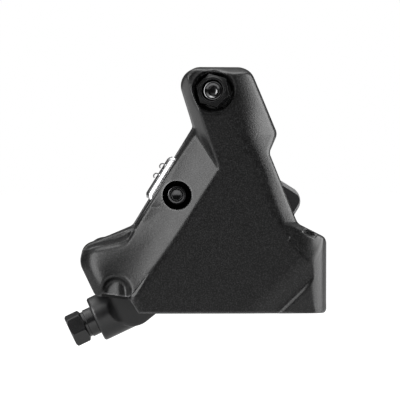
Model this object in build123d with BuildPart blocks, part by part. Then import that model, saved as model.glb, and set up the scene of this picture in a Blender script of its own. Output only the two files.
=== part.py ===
from build123d import *
import os
from math import atan2, cos, degrees, radians, sin

# A flat mount disc brake caliper for the rear of a road bicycle, in millimetres.
# X runs towards the wheel axle, Z up from the mounting face, and Y from the outer side to the wheel.
# The origin is midway between the two mount holes, on the mounting face.

# Whole body
body_height = 65.4
body_length = 66.1
outer_face = 8.5
edge_round = 0.5

# Mounting holes, M5 from below
mount_spacing = 34.0
mount_hole_radius = 2.5
mount_hole_depth = 10.0

# Brake disc that the caliper is made for
disc_radius = 80.0
disc_thickness = 1.8
disc_offset = 13.0
disc_slot_width = 4.6
rim_clearance = 1.5

# Brake pads
lining_thickness = 2.6
plate_thickness = 1.6
shim_thickness = 0.4
running_gap = 0.3
pad_floor_gap = 0.4
pad_width = 36.4
pad_reach = 30.0
pad_corner = 2.0
pad_end_round = 4.0
pad_side_gap = 0.3
lining_height = 15.5
lining_margin = 0.5
lining_side_margin = 1.9
shim_inset = 0.6
shim_side_inset = 0.9
tab_width = 13.0
tab_head = 4.4
pad_lean = 32.0

# Pistons, bores and seals
piston_radius = 9.0
piston_length = 8.0
piston_wall = 2.2
piston_floor = 2.5
bore_clearance = 0.05
chamber_depth = 0.7
seal_section = 1.9
seal_width = 2.4
seal_setback = 2.2
seal_groove_gap = 0.1
seal_fit = 0.03
touch_gap = 0.02
inner_wall = 2.7

# Body bolts, M6
bolt_radius = 3.0
bolt_head_radius = 5.0
bolt_head_height = 5.6
bolt_key = 5.0
bolt_key_depth = 3.0
bolt_grip = 7.0
bolt_thread_length = 10.0
bolt_tip_gap = 1.0
thread_fit = 0.03
head_gap = 0.4

# Pad pin and its clip
pin_radius = 2.0
pin_fit = 0.1
pin_head_radius = 2.6
pin_head_height = 2.8
pin_key = 2.5
pin_key_depth = 1.8
pin_pocket_radius = 3.85
pin_seat_depth = 9.6
pin_tail = 3.4
clip_radius = 3.7
clip_thickness = 0.6
clip_groove = 0.4
clip_setback = 0.5
clip_mouth = 2.6

# Pad spring
spring_sheet = 0.35
spring_span = 4.6
spring_width = 12.8
spring_shift = 1.7
spring_top = 5.9
spring_leg = 8.6
spring_hole_gap = 0.12
spring_neck = 8.0
spring_curl_radius = 0.55
spring_curl_length = 2.4
spring_curl_pitch = 2.5

# Fluid passages and the seal in the joint between the halves
passage_radius = 1.0
inlet_angle = 150.0
crossover_ring = 2.0
crossover_section = 1.2
crossover_groove_depth = 0.9

# Bleed port
bleed_tilt = 17.0
bleed_lean = 146.5
bleed_pocket_radius = 5.25
bleed_pocket_depth = 2.9
bleed_hex = 8.0
bleed_hex_height = 3.6
bleed_thread_radius = 3.5
bleed_thread_length = 7.0
bleed_seal_height = 0.5
bleed_seal_width = 0.8
bleed_screw_head = 2.85
bleed_screw_head_height = 1.7
bleed_screw_recess = 0.6
bleed_screw_radius = 1.9
bleed_screw_length = 4.2
bleed_screw_key = 2.5
bleed_screw_key_depth = 1.2
bleed_screw_gap = 0.08
bleed_seal_section = 0.5

# Hose connection
banjo_radius = 6.2
banjo_ring_height = 10.0
banjo_barrel_angle = 25.4
banjo_barrel_offset = 1.3
banjo_barrel_start = 5.4
banjo_barrel_end = 16.3
banjo_barrel_chamfer = 0.4
banjo_bore_radius = 3.3
banjo_gap = 0.45
banjo_up = 3.0
washer_height = 1.2
washer_radius = 5.2
banjo_bolt_radius = 3.0
banjo_bolt_hex = 10.0
banjo_bolt_head = 4.2
banjo_thread_length = 9.0
banjo_tool_gap = 1.2
hose_radius = 2.5
hose_gap = 0.08
nut_hex = 8.0
nut_hex_length = 4.3
nut_collar_radius = 3.85
nut_collar_length = 3.2
nut_thread_radius = 3.6
nut_thread_length = 6.0
nut_turn = 17.0
ferrule_radius = 3.2
ferrule_length = 3.4

# Forms of the outer surface
left_facet_tilt = 33.0
neck_wall_tilt = 66.0
right_facet_tilt = 26.0
top_band_tilt = 64.0
foot_facet_tilt = 12.0
foot_wall = 2.3
foot_round = 7.0
dish_tilt = 18.0
dish_fall = 95.0
pocket_tilt = 32.0
niche_radius = 3.9
niche_floor = 6.0
inner_plate = 11.0
inner_round = 1.2
spine_height = 15.2
spine_wall = 2.2
spine_top_share = 0.25
bore_wall = 1.5

# The foot ends a wall past its mount hole
foot_end = mount_spacing / 2 + mount_hole_radius + foot_wall
foot_end_share = foot_end / body_length

# Outline corners as shares of body length, body height and, for the radius, body height
outer_outline_shares = [
    (-0.430, 0.000, 0.012),
    (foot_end_share, 0.000, 0.018),
    (foot_end_share, 0.304, 0.038),
    (0.210, 0.365, 0.046),
    (0.096, 0.652, 0.030),
    (0.132, 0.728, 0.038),
    (0.017, 1.000, 0.072),
    (-0.278, 1.000, 0.073),
    (-0.201, 0.751, 0.009),
    (-0.442, 0.350, 0.038),
    (-0.650, 0.271, 0.056),
    (-0.666, 0.200, 0.061),
    (-0.604, 0.070, 0.030),
    (-0.464, 0.053, 0.015),
]
inner_outline_shares = [
    (-0.295, 0.015, 0.030),
    (0.180, 0.015, 0.060),
    (0.186, 0.365, 0.046),
    (0.090, 0.652, 0.030),
    (0.112, 0.728, 0.038),
    (0.006, 0.980, 0.060),
    (-0.262, 0.980, 0.073),
    (-0.199, 0.757, 0.009),
    (-0.447, 0.348, 0.038),
    (-0.644, 0.264, 0.046),
    (-0.655, 0.200, 0.061),
    (-0.596, 0.120, 0.045),
]

# Places on the outline's grid, as shares of body length and body height
upper_bolt_shares = (0.000, 0.809)
lower_bolt_shares = (-0.560, 0.222)
pin_shares = (-0.275, 0.479)
crossover_shares = (-0.100, 0.798)
bleed_shares = (-0.132, 0.903)
banjo_shares = (-0.386, 0.085)
niche_shares = (-0.520, 0.090)
ridge_top_shares = (-0.107, 0.590)
ridge_low_shares = (-0.4337, 0.0775)
swoosh_top_shares = (-0.192, 0.833)
right_ridge_top_shares = (-0.060, 1.000)
right_ridge_low_shares = (0.151, 0.342)
foot_crease_low_shares = (0.135, 0.000)
foot_crease_high_shares = (0.330, 0.190)
dish_shares = (-0.472, 0.0275)
band_left_shares = (-0.192, 0.989)
band_right_shares = (0.022, 0.960)
pocket_low_shares = (0.170, 0.290)
pocket_high_shares = (0.236, 0.225)
waist_shares = (0.200, 0.385)


def place(shares):
    return (body_length * shares[0], body_height * shares[1])


def at_depth(depth):
    # A sketch plane seen as in the photograph, with its normal towards the outer side
    return Plane.XZ.offset(-depth)


def corners(table):
    points = [(body_length * x, body_height * z) for x, z, r in table]
    radii = [body_height * r for x, z, r in table]
    return points, radii


def direction(angle):
    return (cos(radians(angle)), sin(radians(angle)))


def step_from(point, angle, length):
    along = direction(angle)
    return (point[0] + length * along[0], point[1] + length * along[1])


def heading(start, end):
    return degrees(atan2(end[1] - start[1], end[0] - start[0]))


def facet_plane(point, fall_angle, tilt):
    # A plane through a point of the main face that falls back towards fall_angle
    fall = direction(fall_angle)
    lean = radians(tilt)
    normal = (fall[0] * sin(lean), -cos(lean), fall[1] * sin(lean))
    return Plane(origin=(point[0], -outer_face, point[1]), z_dir=normal)


# Derived depths, measured from the middle of the disc
pad_back = disc_thickness / 2 + running_gap + lining_thickness + plate_thickness + shim_thickness
cavity_depth = pad_back + pad_floor_gap
bore_radius = piston_radius + bore_clearance
bore_depth = pad_back + touch_gap + piston_length + chamber_depth
groove_radius = bore_radius + seal_section
seal_place = cavity_depth + seal_setback
inner_back = disc_offset + inner_plate
bore_end = disc_offset + bore_depth

# Derived places in the view from the outer side
upper_bolt = place(upper_bolt_shares)
lower_bolt = place(lower_bolt_shares)
pin = place(pin_shares)
crossover = place(crossover_shares)
bleed = place(bleed_shares)
banjo_place = place(banjo_shares)
niche_place = place(niche_shares)
ridge_top = place(ridge_top_shares)
ridge_low = place(ridge_low_shares)
swoosh_top = place(swoosh_top_shares)
right_ridge_top = place(right_ridge_top_shares)
right_ridge_low = place(right_ridge_low_shares)
foot_crease_low = place(foot_crease_low_shares)
foot_crease_high = place(foot_crease_high_shares)
dish_low = place(dish_shares)
band_left = place(band_left_shares)
band_right = place(band_right_shares)
pocket_low = place(pocket_low_shares)
pocket_high = place(pocket_high_shares)
piston_reach = pad_reach - lining_margin - lining_height / 2
piston_place = step_from(pin, -pad_lean, piston_reach)
disc_rim_reach = piston_reach - lining_height / 2 - lining_margin
disc_place = step_from(pin, -pad_lean, disc_rim_reach + disc_radius)
pad_half = pad_width / 2
cavity_half = pad_half + pad_side_gap
shoulder_reach = piston_reach - piston_radius - pad_corner
window_half = body_height / 5


def pad_plane(depth):
    # The pad's own plane: X along the pad from the pin towards the axle, Y along its width
    lean = radians(pad_lean)
    return Plane(origin=(pin[0], depth, pin[1]), x_dir=(cos(lean), 0, -sin(lean)), z_dir=(0, -1, 0))


def pad_outline(grow):
    # Backing plate with its tab round the pin, grown evenly
    half = pad_half + grow
    tab = tab_width / 2 + grow
    head = tab_head + grow
    edge = pad_corner / 4
    upper = [
        (-head, tab / 2, edge),
        (0, tab, edge),
        (shoulder_reach - tab_head - grow, tab, edge),
        (shoulder_reach - grow, half - pad_corner, edge),
        (shoulder_reach - grow + pad_corner, half, edge),
        (pad_reach + grow, half, pad_end_round),
    ]
    lower = [(along, -across, radius) for along, across, radius in reversed(upper)]
    points = [(along, across) for along, across, radius in upper + lower]
    radii = [radius for along, across, radius in upper + lower]
    with BuildSketch() as outline:
        with BuildLine():
            FilletPolyline(*points, radius=radii, close=True)
        make_face()
    return outline.sketch


def drilling(start, end, radius):
    # A straight drilled passage from start to end
    run = Vector(*end) - Vector(*start)
    with BuildPart() as hole:
        with BuildSketch(Plane(origin=start, z_dir=run)):
            Circle(radius)
        extrude(amount=run.length)
    return hole.part


# Cutter for the pad cavity, the window above the tabs and the way for the disc
with BuildPart() as pad_cavity:
    with BuildSketch(pad_plane(disc_offset + cavity_depth)):
        with Locations((shoulder_reach - pad_corner, 0)):
            Rectangle(body_length, 2 * cavity_half, align=(Align.MIN, Align.CENTER))
        Rectangle(body_length, 2 * window_half)
    extrude(amount=2 * cavity_depth)

with BuildPart() as disc_way:
    with BuildSketch(at_depth(disc_offset + disc_slot_width / 2)):
        with Locations(disc_place):
            Circle(disc_radius + rim_clearance)
    extrude(amount=disc_slot_width)

# Cutter that frees the banjo, its barrel and the tool for its bolt
banjo_ceiling_angle = 180 + banjo_barrel_angle - banjo_up
banjo_side = banjo_radius + banjo_gap
banjo_seat = disc_offset - banjo_ring_height / 2 - touch_gap - washer_height
ceiling_start = step_from(banjo_place, banjo_ceiling_angle - 90, banjo_side)
ceiling_end = step_from(ceiling_start, banjo_ceiling_angle, body_length)
with BuildPart() as banjo_pocket:
    with BuildSketch(at_depth(disc_offset + banjo_radius + banjo_gap)):
        with BuildLine():
            Polyline(
                ceiling_start,
                ceiling_end,
                (ceiling_end[0], -body_height),
                (banjo_place[0] + banjo_side / 2, -body_height),
                (banjo_place[0] + banjo_side / 2, banjo_place[1]),
                close=True,
            )
        make_face()
        with Locations(banjo_place):
            Circle(banjo_side)
    extrude(amount=2 * banjo_side)
    with BuildSketch(at_depth(banjo_seat)):
        with Locations(banjo_place):
            Circle(banjo_side)
    extrude(amount=-banjo_side)
    with BuildSketch(at_depth(disc_offset + body_height)):
        with Locations(banjo_place):
            Circle(banjo_radius + banjo_tool_gap)
    extrude(amount=body_height)

# Seat that carries the banjo's first washer
with BuildPart() as banjo_boss:
    with BuildSketch(at_depth(banjo_seat)):
        with Locations(banjo_place):
            Circle(washer_radius)
    extrude(amount=banjo_side)

# Bore with its seal groove, cut from the disc side; side is -1 for the outer half and 1 for the inner
def bore_cut(side):
    mouth = disc_offset + side * (cavity_depth - pad_floor_gap)
    with BuildPart() as bore:
        with BuildSketch(at_depth(mouth)):
            with Locations(piston_place):
                Circle(bore_radius)
        extrude(amount=-side * (bore_depth - cavity_depth + pad_floor_gap))
        with BuildSketch(at_depth(disc_offset + side * seal_place)):
            with Locations(piston_place):
                Circle(groove_radius)
        extrude(amount=-side * (seal_width + 2 * seal_groove_gap))
    return bore.part


# Surfaces that shape the outer half's face
left_fall = heading(ridge_low, ridge_top) + 90
neck_fall = heading(ridge_top, swoosh_top) + 90
with BuildPart() as left_facet:
    with BuildSketch(at_depth(disc_offset)):
        Rectangle(3 * body_length, 3 * body_height)
    extrude(amount=disc_offset + 2 * outer_face)
    split(bisect_by=facet_plane(ridge_top, left_fall, left_facet_tilt), keep=Keep.TOP)
    split(bisect_by=facet_plane(ridge_top, neck_fall, neck_wall_tilt), keep=Keep.TOP)
    split(bisect_by=facet_plane(dish_low, dish_fall, dish_tilt), keep=Keep.TOP)

right_fall = heading(right_ridge_low, right_ridge_top) - 90
with BuildPart() as right_facet:
    with BuildSketch(at_depth(disc_offset)):
        with BuildLine():
            Polyline(
                right_ridge_low,
                (body_length, right_ridge_low[1]),
                (body_length, 2 * body_height),
                step_from(right_ridge_top, right_fall + 90, body_height),
                close=True,
            )
        make_face()
    extrude(amount=disc_offset + 2 * outer_face)
    split(bisect_by=facet_plane(right_ridge_low, right_fall, right_facet_tilt), keep=Keep.TOP)

foot_fall = heading(foot_crease_low, foot_crease_high) - 90
foot_plane = facet_plane(foot_crease_low, foot_fall, foot_facet_tilt)
band_plane = facet_plane(band_left, heading(band_left, band_right) + 90, top_band_tilt)
with BuildPart() as foot_rounding:
    with BuildSketch():
        with Locations((foot_end - foot_round, foot_round - outer_face)):
            Rectangle(body_length, body_length, align=(Align.MIN, Align.MAX))
            Circle(foot_round, mode=Mode.SUBTRACT)
    extrude(amount=body_height)

# The hollow between the body and the foot's boss
pocket_fall = heading(pocket_low, pocket_high) + 90
with BuildPart() as foot_pocket:
    with BuildSketch(at_depth(disc_offset)):
        with BuildLine():
            Polyline(
                pocket_low,
                pocket_high,
                (body_length, pocket_high[1]),
                (body_length, body_height / 2),
                place(waist_shares),
                close=True,
            )
        make_face()
    extrude(amount=disc_offset + 2 * outer_face)
    split(bisect_by=facet_plane(pocket_low, pocket_fall, pocket_tilt), keep=Keep.TOP)

# Places and depths of the drilled passages and of the bleed port
chamber = disc_offset - bore_depth + chamber_depth / 2
inner_chamber = disc_offset + bore_depth - chamber_depth / 2
bleed_out = facet_plane(bleed, bleed_lean, bleed_tilt).z_dir
bleed_floor = Vector(bleed[0], -outer_face, bleed[1]) - bleed_out * bleed_pocket_depth
bleed_hole_depth = bleed_thread_length + bolt_tip_gap
bleed_end = bleed_floor - bleed_out * bleed_hole_depth
riser_start = Vector(piston_place[0], chamber, piston_place[1] + bore_radius - passage_radius)
riser_share = (crossover[1] - riser_start.Z) / (bleed_end.Z - riser_start.Z)
riser_meet = riser_start + (bleed_end - riser_start) * riser_share
inlet_end = step_from(piston_place, inlet_angle, bore_radius - passage_radius)
bolt_seat = disc_offset + bolt_grip
fall_start = Vector(crossover[0], bolt_seat, crossover[1])
fall_end = Vector(piston_place[0], inner_chamber, piston_place[1] + bore_radius - passage_radius)
spine_meet = fall_start + (fall_end - fall_start) * spine_top_share
spine_top = (spine_meet.X, spine_meet.Z)
banjo_hole_end = banjo_seat - banjo_thread_length - bolt_tip_gap
pin_seat = -outer_face + pin_seat_depth


def bleed_plane(height):
    # A plane across the bleed port, at a height above its spot face
    return Plane(origin=bleed_floor + bleed_out * height, z_dir=bleed_out)


# Outer half
points, radii = corners(outer_outline_shares)
with BuildPart() as outer_housing:
    with BuildSketch(at_depth(disc_offset)):
        with BuildLine():
            FilletPolyline(*points, radius=radii, close=True)
        make_face()
    extrude(amount=disc_offset + outer_face)
    fillet(outer_housing.edges().group_by(Axis.Y)[0], radius=edge_round)
    split(bisect_by=band_plane, keep=Keep.BOTTOM)
    split(bisect_by=foot_plane, keep=Keep.BOTTOM)
    add(left_facet.part, mode=Mode.SUBTRACT)
    add(right_facet.part, mode=Mode.SUBTRACT)
    add(foot_pocket.part, mode=Mode.SUBTRACT)
    add(foot_rounding.part, mode=Mode.SUBTRACT)
    add([pad_cavity.part, disc_way.part, banjo_pocket.part, bore_cut(-1)], mode=Mode.SUBTRACT)
    add(banjo_boss.part)
    with BuildSketch():
        with Locations((-mount_spacing / 2, 0)):
            Circle(mount_hole_radius)
    extrude(amount=mount_hole_depth, mode=Mode.SUBTRACT)
    with BuildSketch():
        with Locations((mount_spacing / 2, 0)):
            Circle(mount_hole_radius)
    extrude(amount=body_height, mode=Mode.SUBTRACT)
    with BuildSketch(at_depth(disc_offset)):
        with Locations(upper_bolt, lower_bolt):
            Circle(bolt_radius + thread_fit)
    extrude(amount=bolt_thread_length + bolt_tip_gap, mode=Mode.SUBTRACT)
    with BuildSketch(at_depth(banjo_seat)):
        with Locations(banjo_place):
            Circle(banjo_bolt_radius + thread_fit)
    extrude(amount=banjo_seat - banjo_hole_end, mode=Mode.SUBTRACT)
    with BuildSketch(at_depth(disc_offset)):
        with Locations(pin):
            Circle(pin_radius + pin_fit)
    extrude(amount=disc_offset - pin_seat, mode=Mode.SUBTRACT)
    with BuildSketch(at_depth(pin_seat)):
        with Locations(pin):
            Circle(pin_pocket_radius)
    extrude(amount=pin_seat_depth, mode=Mode.SUBTRACT)
    with BuildSketch(at_depth(niche_floor - outer_face)):
        with Locations(niche_place):
            Circle(niche_radius)
            Rectangle(2 * niche_radius, body_height, align=(Align.CENTER, Align.MAX))
    extrude(amount=niche_floor, mode=Mode.SUBTRACT)
    with BuildSketch(bleed_plane(0)):
        Circle(bleed_pocket_radius)
    extrude(amount=body_height, mode=Mode.SUBTRACT)
    with BuildSketch(bleed_plane(0)):
        Circle(bleed_thread_radius + thread_fit)
    extrude(amount=-bleed_hole_depth, mode=Mode.SUBTRACT)
    add(drilling(riser_start, bleed_end, passage_radius), mode=Mode.SUBTRACT)
    crossover_start = (crossover[0], disc_offset, crossover[1])
    crossover_end = (crossover[0], riser_meet.Y, crossover[1])
    add(drilling(crossover_start, crossover_end, passage_radius), mode=Mode.SUBTRACT)
    inlet_from = (banjo_place[0], chamber, banjo_place[1])
    inlet_to = (inlet_end[0], chamber, inlet_end[1])
    add(drilling(inlet_from, inlet_to, passage_radius), mode=Mode.SUBTRACT)

# Inner half
points, radii = corners(inner_outline_shares)
with BuildPart() as inner_housing:
    with BuildSketch(at_depth(inner_back)):
        with BuildLine():
            FilletPolyline(*points, radius=radii, close=True)
        make_face()
    extrude(amount=inner_plate)
    fillet(inner_housing.edges().group_by(Axis.Y)[-1], radius=inner_round)
    with BuildSketch(at_depth(disc_offset + spine_height)):
        with BuildSketch(mode=Mode.PRIVATE) as spine_ends:
            with Locations(piston_place):
                Circle(bore_radius)
            with Locations(spine_top):
                Circle(passage_radius + spine_wall)
        make_hull(spine_ends.sketch.edges())
    extrude(amount=spine_height)
    with BuildSketch(at_depth(bore_end + inner_wall)):
        with Locations(piston_place):
            Circle(groove_radius + bore_wall)
    extrude(amount=bore_depth + inner_wall)
    fillet(inner_housing.edges().group_by(Axis.Y)[-1], radius=inner_round)
    add([pad_cavity.part, disc_way.part, banjo_pocket.part, bore_cut(1)], mode=Mode.SUBTRACT)
    with BuildSketch(at_depth(inner_back)):
        with Locations(upper_bolt, lower_bolt):
            Circle(bolt_radius + pin_fit)
    extrude(amount=inner_plate, mode=Mode.SUBTRACT)
    with BuildSketch(at_depth(disc_offset + spine_height)):
        with Locations(upper_bolt, lower_bolt):
            Circle(bolt_head_radius + head_gap)
    extrude(amount=spine_height - bolt_grip, mode=Mode.SUBTRACT)
    with BuildSketch(at_depth(disc_offset + spine_height)):
        with Locations(pin):
            Circle(pin_radius + pin_fit)
    extrude(amount=spine_height, mode=Mode.SUBTRACT)
    with BuildSketch(at_depth(disc_offset + crossover_groove_depth)):
        with Locations(crossover):
            Circle(crossover_ring + crossover_section / 2 + thread_fit)
    extrude(amount=crossover_groove_depth, mode=Mode.SUBTRACT)
    add(drilling(crossover_start, fall_start, passage_radius), mode=Mode.SUBTRACT)
    add(drilling(fall_start, fall_end, passage_radius), mode=Mode.SUBTRACT)

# Body bolts, two alike
with BuildPart() as body_bolts:
    with BuildSketch(at_depth(bolt_seat)):
        with Locations(upper_bolt, lower_bolt):
            Circle(bolt_radius)
    extrude(amount=bolt_grip + bolt_thread_length)
    with BuildSketch(at_depth(bolt_seat + bolt_head_height)):
        with Locations(upper_bolt, lower_bolt):
            Circle(bolt_head_radius)
    extrude(amount=bolt_head_height)
    chamfer(body_bolts.edges().group_by(Axis.Y)[-1], length=head_gap)
    with BuildSketch(at_depth(bolt_seat + bolt_head_height)):
        with Locations(upper_bolt, lower_bolt):
            RegularPolygon(bolt_key / 2, 6, major_radius=False)
    extrude(amount=bolt_key_depth, mode=Mode.SUBTRACT)

# Seal round the passage in the joint face
with BuildPart() as crossover_seal:
    with BuildSketch(at_depth(disc_offset + crossover_groove_depth)):
        with Locations(crossover):
            Circle(crossover_ring + crossover_section / 2)
            Circle(crossover_ring - crossover_section / 2, mode=Mode.SUBTRACT)
    extrude(amount=crossover_groove_depth)


# Pistons, cups that open towards the pads
def piston(side):
    with BuildPart() as cup:
        with BuildSketch(at_depth(disc_offset + side * (pad_back + touch_gap))):
            with Locations(piston_place):
                Circle(piston_radius)
        extrude(amount=-side * piston_length)
        chamfer(cup.edges().sort_by(Axis.Y)[0 if side < 0 else -1], length=bolt_tip_gap / 2)
        with BuildSketch(at_depth(disc_offset + side * (pad_back + touch_gap))):
            with Locations(piston_place):
                Circle(piston_radius - piston_wall)
        extrude(amount=-side * (piston_length - piston_floor), mode=Mode.SUBTRACT)
    return cup


def piston_seal(side):
    with BuildPart() as ring:
        with BuildSketch(at_depth(disc_offset + side * (seal_place + seal_groove_gap))):
            with Locations(piston_place):
                Circle(groove_radius - seal_fit)
                Circle(piston_radius + seal_fit, mode=Mode.SUBTRACT)
        extrude(amount=-side * seal_width)
    return ring


# Pad pieces; near is the distance of the nearer face from the middle of the disc
def slab(outline, side, near, thickness):
    with BuildPart() as piece:
        with BuildSketch(pad_plane(disc_offset + side * near)):
            add(outline)
        extrude(amount=-side * thickness)
    return piece


with BuildSketch() as plate_outline:
    add(pad_outline(0))
    Circle(pin_radius + pin_fit, mode=Mode.SUBTRACT)
with BuildSketch() as lining_outline:
    with Locations((piston_reach, 0)):
        RectangleRounded(lining_height, pad_width - 2 * lining_side_margin, pad_corner)
with BuildSketch() as shim_outline:
    with Locations((shoulder_reach + shim_side_inset, 0)):
        length = pad_reach - shim_inset - shoulder_reach - shim_side_inset
        Rectangle(length, pad_width - 2 * shim_side_inset, align=(Align.MIN, Align.CENTER))
    fillet(shim_outline.vertices(), radius=pad_corner)

lining_near = disc_thickness / 2 + running_gap
plate_near = lining_near + lining_thickness
shim_near = plate_near + plate_thickness

# Pad spring, a folded sheet with a leg beside each tab, carried by the pin
with BuildPart() as pad_spring:
    with BuildSketch(pad_plane(disc_offset + spring_span / 2)):
        with Locations((-spring_top, spring_shift)):
            Rectangle(spring_sheet, spring_width, align=(Align.MIN, Align.CENTER))
    extrude(amount=spring_span)
    for side in (-1, 1):
        with BuildSketch(pad_plane(disc_offset + side * spring_span / 2)):
            with Locations((-spring_top, 0)):
                Rectangle(spring_top + spring_leg, spring_neck, align=(Align.MIN, Align.CENTER))
            Circle(pin_radius + spring_hole_gap, mode=Mode.SUBTRACT)
        extrude(amount=side * spring_sheet)
    with BuildSketch(pad_plane(disc_offset + spring_curl_length / 2)):
        with Locations(
            (-spring_top, spring_shift),
            (-spring_top, spring_shift + spring_curl_pitch),
        ):
            Circle(spring_curl_radius)
    extrude(amount=spring_curl_length)

# Pad pin with its head in the outer half and a groove for the clip past the inner half
pin_end = inner_back + pin_tail
clip_place = inner_back + clip_setback
with BuildPart() as pad_pin:
    with BuildSketch(at_depth(pin_end)):
        with Locations(pin):
            Circle(pin_radius)
    extrude(amount=pin_end - pin_seat)
    with BuildSketch(at_depth(pin_seat)):
        with Locations(pin):
            Circle(pin_head_radius)
    extrude(amount=pin_head_height)
    chamfer(pad_pin.edges().group_by(Axis.Y)[0], length=clip_groove)
    chamfer(pad_pin.edges().group_by(Axis.Y)[-1], length=clip_groove)
    with BuildSketch(at_depth(pin_seat - pin_head_height)):
        with Locations(pin):
            RegularPolygon(pin_key / 2, 6, major_radius=False)
    extrude(amount=-pin_key_depth, mode=Mode.SUBTRACT)
    with BuildSketch(at_depth(clip_place + clip_thickness + touch_gap)):
        with Locations(pin):
            Circle(pin_radius)
            Circle(pin_radius - clip_groove, mode=Mode.SUBTRACT)
    extrude(amount=clip_thickness + 2 * touch_gap, mode=Mode.SUBTRACT)

with BuildPart() as pad_pin_clip:
    with BuildSketch(at_depth(clip_place + clip_thickness)):
        with Locations(pin):
            Circle(clip_radius)
            Circle(pin_radius - clip_groove + touch_gap, mode=Mode.SUBTRACT)
            Rectangle(clip_radius, clip_mouth, align=(Align.MIN, Align.CENTER), mode=Mode.SUBTRACT)
    extrude(amount=clip_thickness)

# Bleed port: a hex fitting with a screw inside, each on its own seal
hex_base = bleed_seal_height
hex_top = hex_base + bleed_hex_height
screw_seat = hex_top - bleed_screw_recess - bleed_screw_head_height - bleed_seal_section
with BuildPart() as bleed_fitting:
    with BuildSketch(bleed_plane(hex_base)):
        RegularPolygon(bleed_hex / 2, 6, major_radius=False)
    extrude(amount=bleed_hex_height)
    chamfer(bleed_fitting.faces().sort_by(Axis.Y)[0].edges(), length=bleed_hex / 20)
    with BuildSketch(bleed_plane(hex_base)):
        Circle(bleed_thread_radius)
    extrude(amount=-hex_base - bleed_thread_length)
    with BuildSketch(bleed_plane(hex_top)):
        Circle(bleed_screw_head + bleed_screw_gap)
    extrude(amount=screw_seat - hex_top, mode=Mode.SUBTRACT)
    with BuildSketch(bleed_plane(screw_seat)):
        Circle(bleed_screw_radius + bleed_screw_gap)
    extrude(amount=-bleed_screw_length - bleed_screw_gap, mode=Mode.SUBTRACT)
    with BuildSketch(bleed_plane(screw_seat)):
        Circle(passage_radius)
    extrude(amount=-bleed_thread_length - hex_top, mode=Mode.SUBTRACT)

with BuildPart() as bleed_fitting_seal:
    with BuildSketch(bleed_plane(0)):
        Circle(bleed_thread_radius + bleed_seal_width)
        Circle(bleed_thread_radius + thread_fit, mode=Mode.SUBTRACT)
    extrude(amount=bleed_seal_height)

with BuildPart() as bleed_screw:
    with BuildSketch(bleed_plane(screw_seat + bleed_seal_section)):
        Circle(bleed_screw_head)
    extrude(amount=bleed_screw_head_height)
    with BuildSketch(bleed_plane(screw_seat + bleed_seal_section)):
        Circle(bleed_screw_radius)
    extrude(amount=-bleed_seal_section - bleed_screw_length)
    with BuildSketch(bleed_plane(screw_seat + bleed_seal_section + bleed_screw_head_height)):
        RegularPolygon(bleed_screw_key / 2, 6, major_radius=False)
    extrude(amount=-bleed_screw_key_depth, mode=Mode.SUBTRACT)

with BuildPart() as bleed_screw_seal:
    with BuildSketch(bleed_plane(screw_seat)):
        Circle(bleed_screw_radius + bleed_screw_gap + bleed_seal_section)
        Circle(bleed_screw_radius + thread_fit, mode=Mode.SUBTRACT)
    extrude(amount=bleed_seal_section)

# Banjo: a ring round its bolt, a web and the barrel that takes the hose
barrel_angle = 180 + banjo_barrel_angle
barrel_origin = step_from(banjo_place, barrel_angle + 90, banjo_barrel_offset)
barrel_out = direction(barrel_angle)


def barrel_plane(reach):
    # A plane across the barrel's axis, at a reach from the bolt
    x, z = step_from(barrel_origin, barrel_angle, reach)
    return Plane(origin=(x, disc_offset, z), x_dir=(0, 1, 0), z_dir=(barrel_out[0], 0, barrel_out[1]))


with BuildPart() as banjo:
    with BuildSketch(at_depth(disc_offset + banjo_ring_height / 2)):
        with BuildSketch(mode=Mode.PRIVATE) as web_ends:
            with Locations(banjo_place, step_from(barrel_origin, barrel_angle, banjo_barrel_start)):
                Circle(banjo_radius)
        make_hull(web_ends.sketch.edges())
    extrude(amount=banjo_ring_height)
    with BuildSketch(barrel_plane(banjo_barrel_start)):
        Circle(banjo_radius)
    extrude(amount=banjo_barrel_end - banjo_barrel_start)
    chamfer(banjo.edges().sort_by(Axis.X)[0], length=banjo_barrel_chamfer)
    with BuildSketch(at_depth(disc_offset + banjo_ring_height / 2)):
        with Locations(banjo_place):
            Circle(banjo_bore_radius)
    extrude(amount=banjo_ring_height, mode=Mode.SUBTRACT)
    with BuildSketch(barrel_plane(banjo_barrel_end)):
        Circle(nut_thread_radius + thread_fit)
    extrude(amount=-nut_thread_length, mode=Mode.SUBTRACT)
    with BuildSketch(barrel_plane(banjo_barrel_end - nut_thread_length)):
        Circle(ferrule_radius + thread_fit)
    extrude(amount=-ferrule_length, mode=Mode.SUBTRACT)
    with BuildSketch(barrel_plane(banjo_barrel_end - nut_thread_length)):
        Circle(passage_radius)
    extrude(amount=nut_thread_length - banjo_barrel_end, mode=Mode.SUBTRACT)

washer_places = (banjo_seat + washer_height, disc_offset + banjo_ring_height / 2 + touch_gap + washer_height)
with BuildPart() as banjo_washers:
    for washer_place in washer_places:
        with BuildSketch(at_depth(washer_place)):
            with Locations(banjo_place):
                Circle(washer_radius)
                Circle(banjo_bolt_radius + thread_fit, mode=Mode.SUBTRACT)
        extrude(amount=washer_height)

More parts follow.
